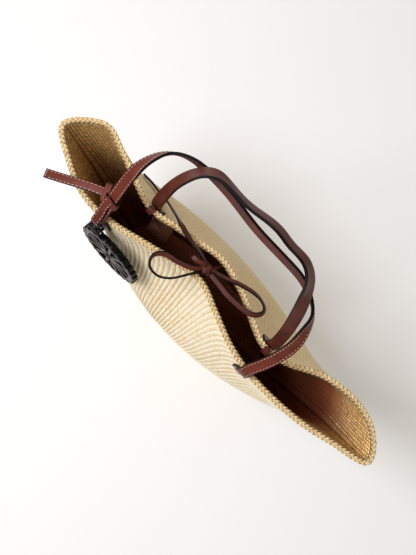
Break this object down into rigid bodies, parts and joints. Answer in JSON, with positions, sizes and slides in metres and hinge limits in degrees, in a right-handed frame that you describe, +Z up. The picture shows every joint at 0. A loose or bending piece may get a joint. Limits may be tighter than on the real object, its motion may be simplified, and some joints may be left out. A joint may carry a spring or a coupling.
{
  "type": "beach bag",
  "caption": "Woven straw beach bag with a braided rim, two leather carrying straps, a leather lace tied in a bow across the mouth and a round charm on a leather hanger.",
  "frame": {"origin": "centre of the base, on the floor it stands on", "axes": "+X along the mouth to the right, +Y from the front wall (with the charm) to the back wall, +Z up"},
  "size_m": [0.4791, 0.1322, 0.4784],
  "materials": {
    "straw": "natural woven palm straw, matt",
    "leather": "smooth brown leather with painted black edges",
    "lining": "dark brown leather, plain",
    "steel": "satin",
    "charm_black": "thick black leather, polished",
    "tag_leather": "tan leather",
    "thread": "waxed thread"
  },
  "bodies": {
    "basket": {"basket_base": "straw", "basket_wall": "straw", "rim_braid": "straw", "front_foot_left": "leather", "front_foot_right": "leather", "back_foot_left": "leather", "back_foot_right": "leather", "front_tab_left": "lining", "front_tab_right": "lining", "back_tab_left": "lining", "back_tab_right": "lining", "charm_hanger": "leather", "charm_pin": "steel", "bow_knot": "lining", "lace_loop_left": "lining", "lace_loop_right": "lining", "lace_tail_long": "lining", "lace_tail_short": "lining", "lace_front": "lining", "lace_back": "lining", "hang_tag": "tag_leather", "tag_thread": "thread"},
    "front_handle": {"front_handle_leather": "leather", "front_handle_lining": "lining", "lanyard_keeper": "leather", "lanyard_loop": "leather", "lanyard_tail": "leather"},
    "back_handle": {"back_handle_leather": "leather", "back_handle_lining": "lining"},
    "charm": {"charm": "charm_black"}
  },
  "joints": [
    {"name": "front_handle_swing", "type": "hinge", "parent": "basket", "child": "front_handle", "pos_m": [-0.128, -0.03648, 0.29766], "axis": [0.9999, 0.0106, 0], "range_deg": [-6, 70]},
    {"name": "back_handle_swing", "type": "hinge", "parent": "basket", "child": "back_handle", "pos_m": [-0.1, 0.01897, 0.29541], "axis": [0.9988, -0.0488, 0], "range_deg": [-7, 81]},
    {"name": "charm_swing", "type": "hinge", "parent": "basket", "child": "charm", "pos_m": [-0.128, -0.04348, 0.26597], "axis": [-1, 0, 0], "range_deg": [0, 75]}
  ],
  "couplings": [
    {"joint": "back_handle_swing", "follows": "front_handle_swing", "ratio": 1.15}
  ]
}
